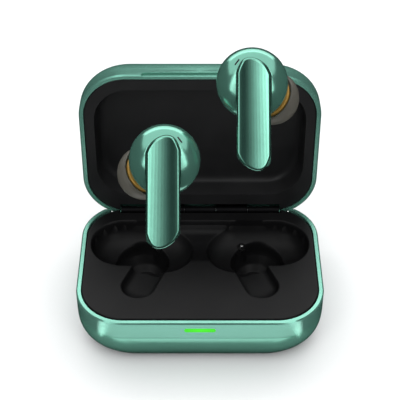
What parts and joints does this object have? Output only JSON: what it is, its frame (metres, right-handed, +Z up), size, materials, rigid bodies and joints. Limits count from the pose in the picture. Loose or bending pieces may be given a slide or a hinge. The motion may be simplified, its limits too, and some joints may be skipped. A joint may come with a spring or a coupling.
{
  "type": "wireless earbuds case",
  "caption": "Rounded charging case with a hinged lid, moulded bud pockets and a pair of stem earbuds held above them on their way out.",
  "frame": {"origin": "centre of the case's flat underside", "axes": "+Z up out of the base, +Y towards the hinge, +X to the right seen from the front"},
  "size_m": [0.064, 0.072, 0.0866],
  "materials": {
    "green_gloss": "glossy metallic lacquer",
    "green_band": "brushed satin lacquer",
    "black_satin": "fine satin texture",
    "led_lens": "lit diffuser",
    "led_chip": "small emitter package",
    "pcb": "solder mask",
    "steel": "machined",
    "black_metal": "black coated hinge metal",
    "foil": "pouch foil",
    "usb_metal": "drawn steel",
    "black_plastic": "moulded",
    "gold": "gold plated",
    "magnet": "nickel plated",
    "flex": "polyimide film",
    "bud_green": "glossy pearl lacquer",
    "silicone": "translucent soft silicone",
    "amber": "coloured silicone",
    "mesh": "fine woven mesh"
  },
  "bodies": {
    "case": {"base_shell": "green_gloss", "base_band": "green_band", "inner_tray": "black_satin", "led_light_bar": "led_lens", "status_led": "led_chip", "led_board": "pcb", "main_pcb": "pcb", "pcb_screws": "steel", "case_battery": "foil", "usb_c_shell": "usb_metal", "usb_c_tongue": "black_plastic", "usb_board": "pcb", "flex_cable": "flex", "pin_sleeves": "steel", "tray_magnets": "magnet", "catch_magnets": "magnet", "hall_sensor": "black_plastic", "base_hinge_leaf": "black_metal", "hinge_bracket": "black_plastic", "hinge_pin": "steel", "tact_switch": "black_plastic", "button_board": "pcb"},
    "lid": {"lid_shell": "green_band", "lid_liner": "black_satin", "lid_hinge_leaf": "black_metal", "lid_magnets": "magnet"},
    "pairing_button": {"pairing_button": "green_gloss"},
    "left_charging_pin": {"left_charging_pin": "steel"},
    "right_charging_pin": {"right_charging_pin": "steel"},
    "left_bud_cell": {"left_coin_cell": "steel"},
    "left_bud": {"left_faceplate": "bud_green", "left_stem_housing": "bud_green", "left_head_shell": "bud_green", "left_inner_housing": "bud_green", "left_charge_contact": "gold", "left_nozzle_mesh": "mesh", "left_tip_core": "amber", "left_ear_tip": "silicone", "left_driver": "black_plastic", "left_bud_pcb": "pcb", "left_bud_magnet": "magnet", "left_mic_mesh": "mesh"},
    "right_bud_cell": {"right_coin_cell": "steel"},
    "right_bud": {"right_faceplate": "bud_green", "right_stem_housing": "bud_green", "right_head_shell": "bud_green", "right_inner_housing": "bud_green", "right_charge_contact": "gold", "right_nozzle_mesh": "mesh", "right_tip_core": "amber", "right_ear_tip": "silicone", "right_driver": "black_plastic", "right_bud_pcb": "pcb", "right_bud_magnet": "magnet", "right_mic_mesh": "mesh"}
  },
  "joints": [
    {"name": "lid_hinge", "type": "hinge", "parent": "case", "child": "lid", "pos_m": [0, 0.02025, 0.01428], "axis": [-1, 0, 0], "range_deg": [-95.8, 0]},
    {"name": "left_bud_lift", "type": "hinge", "parent": "case", "child": "left_bud_cell", "pos_m": [-0.00779, -0.0678, 0.01012], "axis": [0.9995, 0.013, -0.0294], "range_deg": [-47.85, 0]},
    {"name": "left_bud_turn", "type": "hinge", "parent": "left_bud_cell", "child": "left_bud", "pos_m": [-0.00779, -0.0207, 0.06716], "axis": [0, -0.7412, 0.6713], "range_deg": [-23.51, 0.02]},
    {"name": "right_bud_lift", "type": "hinge", "parent": "case", "child": "right_bud_cell", "pos_m": [0.01145, -0.07623, 0.02913], "axis": [0.9997, 0.0105, -0.0236], "range_deg": [-47.84, 0]},
    {"name": "right_bud_turn", "type": "hinge", "parent": "right_bud_cell", "child": "right_bud", "pos_m": [0.01145, -0.00939, 0.07965], "axis": [0, -0.7412, 0.6713], "range_deg": [-0.02, 20.82]},
    {"name": "pairing_button_press", "type": "slide", "parent": "case", "child": "pairing_button", "axis": [0, -1, 0], "range_m": [0, 0.0004], "stiffness_N_per_m": 800},
    {"name": "left_pin_press", "type": "slide", "parent": "case", "child": "left_charging_pin", "axis": [0, 0, -1], "range_m": [0, 0.0006], "stiffness_N_per_m": 400},
    {"name": "right_pin_press", "type": "slide", "parent": "case", "child": "right_charging_pin", "axis": [0, 0, -1], "range_m": [0, 0.0006], "stiffness_N_per_m": 400}
  ],
  "couplings": [
    {"joint": "left_bud_turn", "follows": "left_bud_lift", "ratio": 0.49099},
    {"joint": "right_bud_turn", "follows": "right_bud_lift", "ratio": -0.43475}
  ]
}
